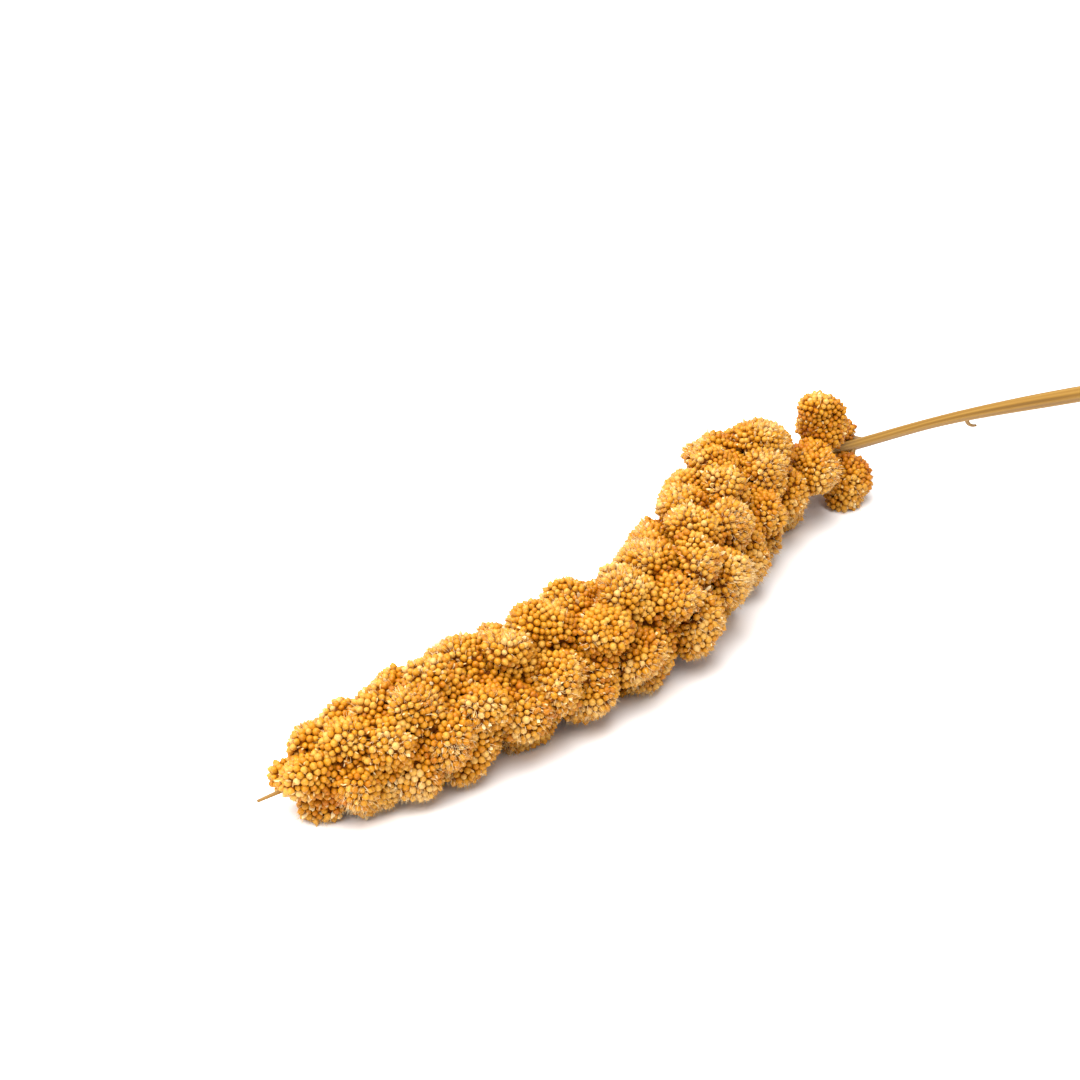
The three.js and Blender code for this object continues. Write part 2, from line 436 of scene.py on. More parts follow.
def spread(tree, value, low, high, to_low=0.0, to_high=1.0):
    """Turns the values from low to high into those from to_low to to_high, and holds them there."""
    sockets = {"Value": value, "From Min": low, "From Max": high, "To Min": to_low, "To Max": to_high}
    return add(tree, "ShaderNodeMapRange", sockets)


def new_tree(name, **inputs):
    """A geometry node tree with named inputs, and the sockets that give their values inside it."""
    tree = bpy.data.node_groups.new(name, "GeometryNodeTree")
    tree.interface.new_socket("Geometry", in_out="INPUT", socket_type="NodeSocketGeometry")
    tree.interface.new_socket("Geometry", in_out="OUTPUT", socket_type="NodeSocketGeometry")
    for label, value in inputs.items():
        socket = tree.interface.new_socket(label, in_out="INPUT", socket_type=SOCKET_KINDS[type(value)])
        socket.default_value = value
    entry = tree.nodes.new("NodeGroupInput")
    return tree, {s.name: s for s in entry.outputs if s.name}


def close_tree(tree, geometry):
    leave = tree.nodes.new("NodeGroupOutput")
    tree.links.new(geometry, leave.inputs[0])


def finish_tree(tree, geometry, material, smooth=True):
    """Ends a tree with plain geometry in its material."""
    whole = add(tree, "GeometryNodeRealizeInstances", {"Geometry": geometry})
    shaded = add(tree, "GeometryNodeSetShadeSmooth", {"Geometry": whole, "Shade Smooth": smooth})
    close_tree(tree, add(tree, "GeometryNodeSetMaterial", {"Geometry": shaded, "Material": material}))


def run_tree(mesh, tree, **values):
    """What a tree makes of a mesh, as a plain mesh, with other values for some of its named inputs."""
    work = bpy.data.objects.new(tree.name, mesh)
    bpy.context.scene.collection.objects.link(work)
    modifier = work.modifiers.new(tree.name, "NODES")
    modifier.node_group = tree
    for item in tree.interface.items_tree:
        if item.item_type == "SOCKET" and item.in_out == "INPUT" and item.name in values:
            modifier[item.identifier] = values[item.name]
    graph = bpy.context.evaluated_depsgraph_get()
    result = work.evaluated_get(graph)
    made = bpy.data.meshes.new_from_object(result, preserve_all_data_layers=True, depsgraph=graph)
    bpy.data.objects.remove(work)
    return made


def attribute(tree, name, kind):
    return add(tree, "GeometryNodeInputNamedAttribute", {"Name": name}, data_type=kind)


def store(tree, geometry, name, value, kind="FLOAT", domain="POINT"):
    sockets = {"Geometry": geometry, "Name": name, "Value": value}
    return add(tree, "GeometryNodeStoreNamedAttribute", sockets, data_type=kind, domain=domain)


def random_number(tree, low, high, seed):
    return add(tree, "FunctionNodeRandomValue", {"Min": low, "Max": high, "Seed": seed}, data_type="FLOAT")


def random_turn(tree, rotation, tilt, seed):
    """Turns each thing freely about its own upright and tips it by up to a tilt."""
    lean = random_number(tree, 0.0, tilt, seed)
    turn = random_number(tree, 0.0, FULL_TURN, seed + 1)
    spin = random_number(tree, 0.0, FULL_TURN, seed + 2)
    upright = (0, 0, 1)
    sideways = (1, 0, 0)
    for axis, angle in ((upright, turn), (sideways, lean), (upright, spin)):
        by = add(tree, "FunctionNodeAxisAngleToRotation", {"Axis": axis, "Angle": angle})
        sockets = {"Rotation": rotation, "Rotate By": by}
        rotation = add(tree, "FunctionNodeRotateRotation", sockets, rotation_space="LOCAL")
    return rotation


def upright_along(tree, vector):
    return add(tree, "FunctionNodeAlignRotationToVector", {"Vector": vector}, axis="Z")


def keep_over(tree, geometry, floor):
    """Presses what would lie lower than a floor's height flat on it."""
    split = add(tree, "ShaderNodeSeparateXYZ", {0: add(tree, "GeometryNodeInputPosition")}).node
    height = sum_of(tree, "MAXIMUM", split.outputs["Z"], floor)
    pressed = add(tree, "ShaderNodeCombineXYZ", {0: split.outputs["X"], 1: split.outputs["Y"], 2: height})
    return add(tree, "GeometryNodeSetPosition", {"Geometry": geometry, "Position": pressed})


def finish_copies(tree, sockets, tone_seed, material, smooth=True):
    """Ends a tree with copies of a shape on points, each with its own tone, pressed flat on the floor."""
    copies = add(tree, "GeometryNodeInstanceOnPoints", sockets)
    tone = random_number(tree, 0.0, 1.0, tone_seed)
    toned = store(tree, copies, "tone", tone, domain="INSTANCE")
    whole = add(tree, "GeometryNodeRealizeInstances", {"Geometry": toned})
    finish_tree(tree, keep_over(tree, whole, 0.0), material, smooth)


# The bed of chaff


def ball_directions():
    """Directions to the corners of a ball that is closed by a point at each end."""
    directions = [UP]
    for ring in range(1, BALL_RINGS):
        slope = math.pi * ring / BALL_RINGS
        for i in range(BALL_SEGMENTS):
            turn = FULL_TURN * i / BALL_SEGMENTS
            x = math.sin(slope) * math.cos(turn)
            y = math.sin(slope) * math.sin(turn)
            directions.append(Vector((x, y, math.cos(slope))))
    directions.append(-UP)
    return np.array(directions)


def ball_faces(rings, segments):
    """Faces that join rows of corners between two end points."""
    last = 1 + (rings - 1) * segments
    faces = []
    for i in range(segments):
        after = (i + 1) % segments
        faces.append((0, 1 + i, 1 + after))
        faces.append((last, last - segments + after, last - segments + i))
        for row in range(1, last - segments, segments):
            faces.append((row + i, row + segments + i, row + segments + after, row + after))
    return faces


def reach_to_neighbour(rays, between, to_ball, cleft):
    """How far along each ray a cluster grows before a neighbour stops it, as a share of the ray."""
    # A ray ends where the neighbour's measure of it is only a cleft larger than its own cluster's
    start = to_ball @ between
    step = rays @ to_ball.T
    slope = step @ start - cleft
    square = (step**2).sum(1) - 1
    offset = start @ start - cleft**2
    under = slope**2 - square * offset
    divisor = np.sqrt(np.maximum(under, 0)) - slope
    met = (under >= 0) & (divisor > TINY)
    return np.where(met, offset / np.where(met, divisor, 1), np.inf)


def squashed_clusters(clusters):
    """The corners of each cluster as a ball that its neighbours squash, with a cleft left between them."""
    middles = np.array([c["middle"] for c in clusters])
    shapes = []
    for cluster in clusters:
        shrink = 1 - BED_DEPTH / cluster["half"]
        shapes.append(np.array(cluster["shape"]).T * shrink)
    to_balls = [np.linalg.inv(shape) for shape in shapes]
    bodies = []
    for i, shape in enumerate(shapes):
        cleft = clusters[i]["cleft"]
        rays = ball_directions() @ shape.T
        reach = np.ones(len(rays))
        for j, to_ball in enumerate(to_balls):
            if i != j:
                between = middles[i] - middles[j]
                reach = np.minimum(reach, reach_to_neighbour(rays, between, to_ball, cleft))
        bodies.append(middles[i] + rays * reach[:, None])
    return bodies


def cluster_bodies(clusters):
    """Each cluster as a closed body: rings of corners, and the two ways that its cover depends on."""
    bodies = []
    for cluster, corners in zip(clusters, squashed_clusters(clusters)):
        ways = {"outwards": cluster["outwards"], "bristly": cluster["bristly"]}
        bodies.append({"corners": corners, "rings": BALL_RINGS, **ways})
    return bodies


def core_body():
    """A tube round the axis, deep between the clusters, with a point at each end."""
    corners = [axis_point(CORE_START)]
    for step in range(1, CORE_STEPS):
        at = lerp(CORE_START, BASE_CAP, step / CORE_STEPS)
        point, _, side, over = station(at)
        radius = head_radius(at) - grown(CORE_AT_TIP, CORE_AT_BASE, at)
        for i in range(BALL_SEGMENTS):
            turn = -FULL_TURN * i / BALL_SEGMENTS
            corners.append(point + outward(side, over, turn) * radius)
    corners.append(axis_point(BASE_CAP))
    return {"corners": corners, "rings": CORE_STEPS, "outwards": Vector(), "bristly": Vector()}


def bed_mesh(bodies):
    """A mesh of closed bodies, whose points know which way their body stands out and bristles."""
    corners = []
    faces = []
    ways = {"outwards": [], "bristly": []}
    for body in bodies:
        first = len(corners)
        corners += [to_frame(Vector(p)) for p in body["corners"]]
        faces += [tuple(first + k for k in face) for face in ball_faces(body["rings"], BALL_SEGMENTS)]
        for name, way in ways.items():
            way += [body[name]] * len(body["corners"])
    mesh = bpy.data.meshes.new("bed")
    mesh.from_pydata(corners, [], faces)
    for name, way in ways.items():
        layer = mesh.attributes.new(name, "FLOAT_VECTOR", "POINT")
        layer.data.foreach_set("vector", np.array(way).ravel())
    return mesh


def look_across(tree, bed, way, length):
    """Looks from a place on the bed along a direction for more of the bed."""
    lift = scaled(tree, way, LOOK_CLEAR * MM)
    clear = vector_sum(tree, "ADD", add(tree, "GeometryNodeInputPosition"), lift)
    sockets = {"Target Geometry": bed, "Source Position": clear, "Ray Direction": way, "Ray Length": length}
    return add(tree, "GeometryNodeRaycast", sockets).node


def openness(tree, bed):
    """From 0 deep in a cleft to 1 where nothing stands opposite."""
    seen = look_across(tree, bed, add(tree, "GeometryNodeInputNormal"), OPEN_WIDTH * MM)
    near = sum_of(tree, "DIVIDE", seen.outputs["Hit Distance"], OPEN_WIDTH * MM)
    return sum_of(tree, "ADD", near, sum_of(tree, "SUBTRACT", 1.0, seen.outputs["Is Hit"]))


def bed_tree(material):
    """Makes a smooth bed lumpy and presses it flat where it lies."""
    tree, given = new_tree("chaff_bed", Lump=BED_LUMP * MM, Size=BED_LUMP_SIZE * MM, Floor=BED_FLOOR * MM)
    scale = sum_of(tree, "DIVIDE", 1.0, given["Size"])
    lumps = add(tree, "ShaderNodeTexNoise", {"Scale": scale, "Detail": 1.0})
    rise = sum_of(tree, "MULTIPLY", spread(tree, lumps, 0.3, 0.7, -1.0, 1.0), given["Lump"])
    offset = scaled(tree, add(tree, "GeometryNodeInputNormal"), rise)
    lumpy = add(tree, "GeometryNodeSetPosition", {"Geometry": given["Geometry"], "Offset": offset})
    flat = keep_over(tree, lumpy, given["Floor"])
    # It stores how open each place is, and the chaff's colour paints shade where it is not.
    finish_tree(tree, store(tree, flat, "open", openness(tree, flat)), material)
    return tree


# Grains


def settle(tree, points, bed, spacing):
    """Pushes points that are too close apart, over several rounds, and keeps them on the bed."""
    start = tree.nodes.new("GeometryNodeRepeatInput")
    end = tree.nodes.new("GeometryNodeRepeatOutput")
    start.pair_with_output(end)
    start.inputs["Iterations"].default_value = SETTLE_ROUNDS
    tree.links.new(points, start.inputs["Geometry"])
    here = add(tree, "GeometryNodeInputPosition")
    nearest = add(tree, "GeometryNodeIndexOfNearest", {"Position": here})
    sockets = {"Value": here, "Index": nearest}
    there = add(tree, "GeometryNodeFieldAtIndex", sockets, data_type="FLOAT_VECTOR", domain="POINT")
    apart = vector_sum(tree, "SUBTRACT", here, there)
    gap = add(tree, "ShaderNodeVectorMath", {0: apart}, operation="LENGTH", out="Value")
    short = sum_of(tree, "MAXIMUM", sum_of(tree, "SUBTRACT", spacing, gap), 0.0)
    away = add(tree, "ShaderNodeVectorMath", {0: apart}, operation="NORMALIZE")
    push = scaled(tree, away, sum_of(tree, "MULTIPLY", short, SETTLE_SHARE))
    sockets = {"Geometry": bed, "Sample Position": vector_sum(tree, "ADD", here, push)}
    on_bed = add(tree, "GeometryNodeProximity", sockets, target_element="FACES")
    sockets = {"Geometry": start.outputs["Geometry"], "Position": on_bed}
    tree.links.new(add(tree, "GeometryNodeSetPosition", sockets), end.inputs["Geometry"])
    return end.outputs["Geometry"]


def share_of_way(tree, name, facing):
    """How far a direction turns to one of its cluster's ways."""
    return vector_share(tree, facing, attribute(tree, name, "FLOAT_VECTOR"))


def outer_side(tree):
    """Whether a face of the bed is on its cluster's outer side."""
    facing = add(tree, "GeometryNodeInputNormal")
    sockets = {"A": share_of_way(tree, "outwards", facing), "B": INNER_SHARE}
    return add(tree, "FunctionNodeCompare", sockets, operation="GREATER_THAN")


def out_of_crevices(tree, points, bed, way):
    """Drops the points that have too little room over them, and those inside another body."""
    seen = look_across(tree, bed, way, BODY_WIDTH * MM)
    turned = vector_share(tree, seen.outputs["Hit Normal"], way)
    inside = add(tree, "FunctionNodeCompare", {"A": turned, "B": 0.0}, operation="GREATER_THAN")
    room = {"A": seen.outputs["Hit Distance"], "B": CREVICE_WIDTH * MM}
    tight = add(tree, "FunctionNodeCompare", room, operation="LESS_THAN")
    blocked = add(tree, "FunctionNodeBooleanMath", {0: inside, 1: tight}, operation="OR")
    sockets = {"Geometry": points, "Selection": blocked}
    return add(tree, "GeometryNodeDeleteGeometry", sockets, domain="POINT")


def grain_places_tree():
    """Spreads points evenly over a bed, out of its crevices, each with the way that its grain faces."""
    tree, given = new_tree("grain_places", Spacing=GRAIN_SPACING * MM, Seed=PLACE_SEED)
    bed = given["Geometry"]
    square = sum_of(tree, "MULTIPLY", given["Spacing"], given["Spacing"])
    sockets = {
        "Mesh": bed,
        "Selection": outer_side(tree),
        "Distance Min": sum_of(tree, "MULTIPLY", given["Spacing"], GRAIN_TIGHTEST),
        "Density Max": sum_of(tree, "DIVIDE", GRAIN_CANDIDATES, square),
        "Seed": given["Seed"],
    }
    points = add(tree, "GeometryNodeDistributePointsOnFaces", sockets, distribute_method="POISSON")
    settled = settle(tree, points, bed, given["Spacing"])
    sockets = {"Mesh": bed, "Value": add(tree, "GeometryNodeInputNormal")}
    normal = add(tree, "GeometryNodeSampleNearestSurface", sockets, data_type="FLOAT_VECTOR")
    facing = add(tree, "ShaderNodeVectorMath", {0: normal}, operation="NORMALIZE")
    directed = store(tree, settled, "facing", facing, "FLOAT_VECTOR")
    way = attribute(tree, "facing", "FLOAT_VECTOR")
    open_places = out_of_crevices(tree, directed, bed, way)
    close_tree(tree, add(tree, "GeometryNodePointsToVertices", {"Points": open_places}))
    return tree


def grain_shape(tree, width, stretch):
    """One grain: a bead with a small beak on top, which knows how far up it each point is."""
    sockets = {"Segments": GRAIN_SEGMENTS, "Rings": GRAIN_RINGS, "Radius": 0.5}
    bead = add(tree, "GeometryNodeMeshUVSphere", sockets)
    height = add(tree, "ShaderNodeSeparateXYZ", {0: add(tree, "GeometryNodeInputPosition")}, out="Z")
    marked = store(tree, bead, "rise", sum_of(tree, "ADD", height, 0.5))
    beak = add(tree, "ShaderNodeCombineXYZ", {2: spread(tree, height, BEAK_START, 0.5, 0.0, GRAIN_BEAK)})
    beaked = add(tree, "GeometryNodeSetPosition", {"Geometry": marked, "Offset": beak})
    tall = sum_of(tree, "MULTIPLY", width, stretch)
    size = add(tree, "ShaderNodeCombineXYZ", {0: width, 1: width, 2: tall})
    return add(tree, "GeometryNodeTransform", {"Geometry": beaked, "Scale": size})


def within(tree, start, end):
    """Whether a place lies between two X limits."""
    x = add(tree, "ShaderNodeSeparateXYZ", {0: add(tree, "GeometryNodeInputPosition")}, out="X")
    past_start = add(tree, "FunctionNodeCompare", {"A": x, "B": start}, operation="GREATER_EQUAL")
    before_end = add(tree, "FunctionNodeCompare", {"A": x, "B": end}, operation="LESS_THAN")
    return add(tree, "FunctionNodeBooleanMath", {0: past_start, 1: before_end}, operation="AND")


def grain_tree(material):
    """Stands a grain on each place between two X limits."""
    tree, given = new_tree(
        "grains",
        Width=GRAIN_WIDTH * MM,
        Stretch=GRAIN_STRETCH,
        Stand=GRAIN_STAND * MM,
        Start=-FAR,
        End=FAR,
        Seed=GRAIN_SIZE_SEED,
    )
    way = attribute(tree, "facing", "FLOAT_VECTOR")
    most = GRAIN_STAND_VARIATION * MM
    uneven = random_number(tree, -most, most, GRAIN_STAND_SEED)
    offset = scaled(tree, way, sum_of(tree, "ADD", given["Stand"], uneven))
    raised = add(tree, "GeometryNodeSetPosition", {"Geometry": given["Geometry"], "Offset": offset})
    # Stores how far each grain faces its cluster's bristly end, for the painted light and shade in its
    # colour.
    ended = store(tree, raised, "end", share_of_way(tree, "bristly", way))
    sockets = {
        "Points": ended,
        "Selection": within(tree, given["Start"], given["End"]),
        "Instance": grain_shape(tree, given["Width"], given["Stretch"]),
        "Rotation": random_turn(tree, upright_along(tree, way), GRAIN_TILT, GRAIN_TURN_SEED),
        "Scale": random_number(tree, 1 - GRAIN_VARIATION, 1 + GRAIN_VARIATION, given["Seed"]),
    }
    finish_copies(tree, sockets, GRAIN_TONE_SEED, material)
    return tree


# Bristles and husks


def patches(tree, shift_along, limits):
    """From 0 outside a patch to 1 where it is full."""
    place = vector_sum(tree, "ADD", add(tree, "GeometryNodeInputPosition"), (shift_along * MM, 0, 0))
    sockets = {"Vector": place, "Scale": 1 / (PATCH_SIZE * MM), "Detail": 2.0}
    return spread(tree, add(tree, "ShaderNodeTexNoise", sockets), *limits)


def tuft(tree):
    """From 0 along a cluster's sides to 1 at its bristly end."""
    facing = add(tree, "GeometryNodeInputNormal")
    return spread(tree, share_of_way(tree, "bristly", facing), TUFT_START, TUFT_FULL)


def scatter(tree, given, shape, share, tilt, material):
    """Stands copies of a shape out of the bed, as close together as a share says."""
    sockets = {
        "Mesh": given["Geometry"],
        "Selection": outer_side(tree),
        "Density": sum_of(tree, "MULTIPLY", share, given["Density"]),
        "Seed": given["Seed"],
    }
    spots = add(tree, "GeometryNodeDistributePointsOnFaces", sockets, distribute_method="RANDOM").node
    way = spots.outputs["Normal"]
    points = out_of_crevices(tree, spots.outputs["Points"], given["Geometry"], way)
    lean = scaled(tree, attribute(tree, "bristly", "FLOAT_VECTOR"), TUFT_LEAN)
    upright = upright_along(tree, vector_sum(tree, "ADD", way, lean))
    length = random_number(tree, SHORTEST, LONGEST, SCATTER_LENGTH_SEED)
    sockets = {
        "Points": points,
        "Instance": shape,
        "Rotation": random_turn(tree, upright, tilt, SCATTER_TURN_SEED),
        "Scale": add(tree, "ShaderNodeCombineXYZ", {0: 1.0, 1: 1.0, 2: length}),
    }
    finish_copies(tree, sockets, SCATTER_TONE_SEED, material, smooth=False)


def bristle_tree(material):
    """Slim three-sided bristles in patches at the clusters' bristly ends."""
    tree, given = new_tree(
        "bristles",
        Length=BRISTLE_LENGTH * MM,
        Width=BRISTLE_WIDTH * MM,
        Density=BRISTLE_DENSITY / MM**2,
        Seed=BRISTLE_SEED,
    )
    sockets = {
        "Vertices": 3,
        "Radius Top": 0.0,
        "Radius Bottom": sum_of(tree, "MULTIPLY", given["Width"], 0.5),
        "Depth": given["Length"],
    }
    cone = add(tree, "GeometryNodeMeshCone", sockets)
    share = sum_of(tree, "MULTIPLY", patches(tree, 0, BRISTLE_PATCHES), tuft(tree))
    scatter(tree, given, cone, share, BRISTLE_TILT, material)
    return tree


def husk_tree(material):
    """Flat empty husks that stand loosely among the grains."""
    tree, given = new_tree(
        "husks",
        Length=HUSK_LENGTH * MM,
        Width=HUSK_WIDTH * MM,
        Density=HUSK_DENSITY / MM**2,
        Seed=HUSK_SEED,
    )
    ball = add(tree, "GeometryNodeMeshUVSphere", {"Segments": 6, "Rings": 3, "Radius": 0.5})
    thin = sum_of(tree, "MULTIPLY", given["Width"], HUSK_THICKNESS)
    size = add(tree, "ShaderNodeCombineXYZ", {0: given["Width"], 1: thin, 2: given["Length"]})
    middle = add(tree, "ShaderNodeCombineXYZ", {2: sum_of(tree, "MULTIPLY", given["Length"], HUSK_LIFT)})
    flake = add(tree, "GeometryNodeTransform", {"Geometry": ball, "Scale": size, "Translation": middle})
    scatter(tree, given, flake, patches(tree, HUSK_PATCH_SHIFT, HUSK_PATCHES), HUSK_TILT, material)
    return tree


# Stem


def rachis_path():
    """The stem's own points and radii, from the bare spur at the tip to the cut end."""
    count = math.ceil((axis_length + RACHIS_TIP_REACH) / STALK_STEP)
    points = []
    radii = []
    for i in range(count + 1):
        distance = lerp(-RACHIS_TIP_REACH, axis_length, i / count)
        points.append(axis_point(distance))
        spur = clamp(-distance / RACHIS_TIP_REACH, 0, 1)
        radii.append(rachis_radius(distance) * (1 - SPUR_TAPER * spur))
    return points, radii


def branchlet_path(cluster):
    return [cluster["root"], cluster["middle"]], [BRANCHLET_RADIUS, BRANCHLET_RADIUS]


def stub_path():
    """A short dried stub that curls back from the stem's underside."""
    point, along, side, over = station(STUB_AT)
    out = outward(side, over, STUB_TURN)
    reach = STUB_LENGTH * STUB_BEND
    points = []
    radii = []
    for i in range(STUB_STEPS + 1):
        share = i / STUB_STEPS
        bend = share * math.pi / 2
        points.append(point + out * (reach * math.sin(bend)) + along * (reach * (1 - math.cos(bend))))
        radii.append(STUB_RADIUS * (1 - STUB_TAPER * share))
    return points, radii


def path_mesh(paths):
    """A mesh of lines, one for each path, whose points carry the stalk's radius."""
    corners = []
    girths = []
    edges = []
    for points, radii in paths:
        first = len(corners)
        corners += [to_frame(p) for p in points]
        girths += [radius * MM for radius in radii]
        edges += [(i, i + 1) for i in range(first, len(corners) - 1)]
    mesh = bpy.data.meshes.new("stalk_paths")
    mesh.from_pydata(corners, edges, [])
    mesh.attributes.new("girth", "FLOAT", "POINT").data.foreach_set("value", girths)
    return mesh


def stalk_section(tree, ridges, depth):
    """A ridged round section of radius 1, which knows each point's place and how far up a ridge it is."""
    circle = add(tree, "GeometryNodeCurvePrimitiveCircle", {"Resolution": STALK_SIDES, "Radius": 1.0})
    share = add(tree, "GeometryNodeSplineParameter", out="Factor")
    angle = sum_of(tree, "MULTIPLY", sum_of(tree, "MULTIPLY", share, FULL_TURN), ridges)
    wave = add(tree, "ShaderNodeMath", {0: angle}, operation="COSINE")
    place = add(tree, "GeometryNodeInputPosition")
    placed = store(tree, circle, "section", place, "FLOAT_VECTOR")
    marked = store(tree, placed, "ridge", wave)
    rise = sum_of(tree, "MULTIPLY", attribute(tree, "ridge", "FLOAT"), depth)
    ridged = scaled(tree, place, sum_of(tree, "ADD", 1.0, rise))
    return add(tree, "GeometryNodeSetPosition", {"Geometry": marked, "Position": ridged})


def sink_pith(tree, stalks, pith):
    """Insets the stalks' end faces, sinks them a little and gives them the pith's material."""
    corners = add(tree, "GeometryNodeInputMeshFaceNeighbors", out="Vertex Count")
    sockets = {"A": corners, "B": SIDE_CORNERS}
    ends = add(tree, "FunctionNodeCompare", sockets, data_type="INT", operation="GREATER_THAN")
    sockets = {"Mesh": stalks, "Selection": ends, "Offset Scale": 0.0, "Individual": True}
    rim = add(tree, "GeometryNodeExtrudeMesh", sockets, mode="FACES").node
    top = rim.outputs["Top"]
    sockets = {"Geometry": rim.outputs["Mesh"], "Selection": top, "Scale": PITH_SHARE}
    inset = add(tree, "GeometryNodeScaleElements", sockets, domain="FACE")
    sockets = {"Mesh": inset, "Selection": top, "Offset Scale": -PITH_DEPTH * MM, "Individual": True}
    sunk = add(tree, "GeometryNodeExtrudeMesh", sockets, mode="FACES").node
    sockets = {"Geometry": sunk.outputs["Mesh"], "Selection": sunk.outputs["Top"], "Material": pith}
    return add(tree, "GeometryNodeSetMaterial", sockets)


def stalk_tree(material, pith):
    """Sweeps a ridged round section along each path and sinks a pith into its ends."""
    tree, given = new_tree("stalks", Ridges=STALK_RIDGES, Depth=STALK_RIDGE_DEPTH)
    sockets = {
        "Curve": add(tree, "GeometryNodeMeshToCurve", {"Mesh": given["Geometry"]}),
        "Profile Curve": stalk_section(tree, given["Ridges"], given["Depth"]),
        "Scale": attribute(tree, "girth", "FLOAT"),
        "Fill Caps": True,
    }
    swept = add(tree, "GeometryNodeCurveToMesh", sockets)
    shaded = add(tree, "GeometryNodeSetShadeSmooth", {"Geometry": swept, "Shade Smooth": True})
    straw = add(tree, "GeometryNodeSetMaterial", {"Geometry": shaded, "Material": material})
    close_tree(tree, sink_pith(tree, straw, pith))
    return tree


# Materials


def colour(red, green, blue):
    """A colour as a shader takes it, from the 0 to 255 of a picture."""
    shares = [value / 255 for value in (red, green, blue)]
    return (*[s / 12.92 if s <= 0.04045 else ((s + 0.055) / 1.055) ** 2.4 for s in shares], 1)


def new_material(name, roughness):
    material = bpy.data.materials.new(name)
    material.use_nodes = True
    shader = material.node_tree.nodes["Principled BSDF"]
    shader.inputs["Roughness"].default_value = roughness
    return material, material.node_tree, shader


def ramp(tree, share, stops):
    """A colour that runs through stops, each a share and a colour."""
    node = add(tree, "ShaderNodeValToRGB", {"Fac": share}).node
    elements = node.color_ramp.elements
    while len(elements) < len(stops):
        elements.new(0.5)
    for element, (place, shade) in zip(elements, stops):
        element.position = place
        element.color = colour(*shade)
    return node.outputs["Color"]


def blend(tree, share, first, second, mode="MIX"):
    sockets = {"Factor": share, "A": first, "B": second}
    return add(tree, "ShaderNodeMix", sockets, data_type="RGBA", blend_type=mode, out="Result")


def noise(tree, size, detail=2.0):
    """Object-fixed noise whose blotches are about as large as a size in millimetres."""
    place = add(tree, "ShaderNodeTexCoord", out="Object")
    return add(tree, "ShaderNodeTexNoise", {"Vector": place, "Scale": 1 / (size * MM), "Detail": detail})


def mark(tree, name):
    return add(tree, "ShaderNodeAttribute", out="Fac", attribute_name=name)


def add_bump(tree, shader, height, distance, strength):
    sockets = {"Height": height, "Distance": distance * MM, "Strength": strength}
    tree.links.new(add(tree, "ShaderNodeBump", sockets), shader.inputs["Normal"])


def grain_material():
    """Golden beads from deep orange to cream, with painted shade at the root, painted light towards each
    cluster's bristly end and painted shade away from it, and a slight gloss.
    """
    material, tree, shader = new_material("millet_grain", 0.42)
    single = spread(tree, mark(tree, "tone"), 0.0, 1.0, 0.22, 0.78)
    region = spread(tree, noise(tree, 14), 0.3, 0.7, -0.16, 0.16)
    # Painted light and shade: grains that face their cluster's bristly end are paler, and those that face
    # away are deeper orange.
    end = spread(tree, mark(tree, "end"), -0.4, 0.9, -0.22, 0.24)
    tone = sum_of(tree, "ADD", single, sum_of(tree, "ADD", region, end))
    stops = [
        (0.0, (168, 92, 0)),
        (0.3, (182, 111, 5)),
        (0.6, (194, 131, 22)),
        (0.85, (203, 150, 58)),
        (1.0, (214, 172, 100)),
    ]
    # Painted shade: each grain's colour darkens towards its root, down among its neighbours.
    clear_of_root_shade = spread(tree, mark(tree, "rise"), 0.25, 0.65)
    shaded = blend(tree, clear_of_root_shade, colour(140, 70, 4), ramp(tree, tone, stops))
    mottle = spread(tree, noise(tree, 0.5), 0.35, 0.65, 0.8, 1.1)
    mottled = blend(tree, 1.0, shaded, mottle, "MULTIPLY")
    tree.links.new(mottled, shader.inputs["Base Color"])
    add_bump(tree, shader, noise(tree, 0.5), 0.16, 0.7)
    shader.inputs["Specular IOR Level"].default_value = 0.25
    return material


def chaff_material():
    """Dry chaff with small grains buried in it, with painted shade between the buried grains and down in
    the clefts.
    """
    material, tree, shader = new_material("chaff_with_painted_cleft_shade", 0.9)
    place = add(tree, "ShaderNodeTexCoord", out="Object")
    sockets = {"Vector": place, "Scale": 1 / (BURIED_GRAIN * MM)}
    from_middle = add(tree, "ShaderNodeTexVoronoi", sockets, out="Distance")
    # Painted shade: the colour darkens from each buried grain's middle to the gaps between them.
    buried = spread(tree, from_middle, 0.2, 0.6, 1.0, 0.0)
    # Painted shade in the clefts: the deep colours go where the bed faces itself closely, the lit ones
    # where it is open.
    painted_cleft_shade = ramp(tree, buried, [(0.0, (64, 30, 2)), (1.0, (98, 52, 6))])
    lit = ramp(tree, buried, [(0.0, (96, 46, 4)), (0.5, (160, 92, 8)), (1.0, (186, 118, 18))])
    body = blend(tree, spread(tree, mark(tree, "open"), 0.6, 1.0), painted_cleft_shade, lit)
    tree.links.new(body, shader.inputs["Base Color"])
    add_bump(tree, shader, buried, 0.5, 0.9)
    shader.inputs["Specular IOR Level"].default_value = 0.1
    return material


def bristle_material():
    material, tree, shader = new_material("pale_bristle", 0.55)
    stops = [(0.0, (200, 154, 84)), (0.5, (222, 188, 126)), (1.0, (240, 222, 180))]
    body = ramp(tree, mark(tree, "tone"), stops)
    tree.links.new(body, shader.inputs["Base Color"])
    return material


def husk_material():
    material, tree, shader = new_material("pale_husk", 0.6)
    stops = [(0.0, (200, 148, 68)), (0.5, (220, 180, 108)), (1.0, (236, 212, 160))]
    body = ramp(tree, mark(tree, "tone"), stops)
    streak = spread(tree, noise(tree, 0.4), 0.3, 0.7, 0.85, 1.05)
    tree.links.new(blend(tree, 1.0, body, streak, "MULTIPLY"), shader.inputs["Base Color"])
    return material


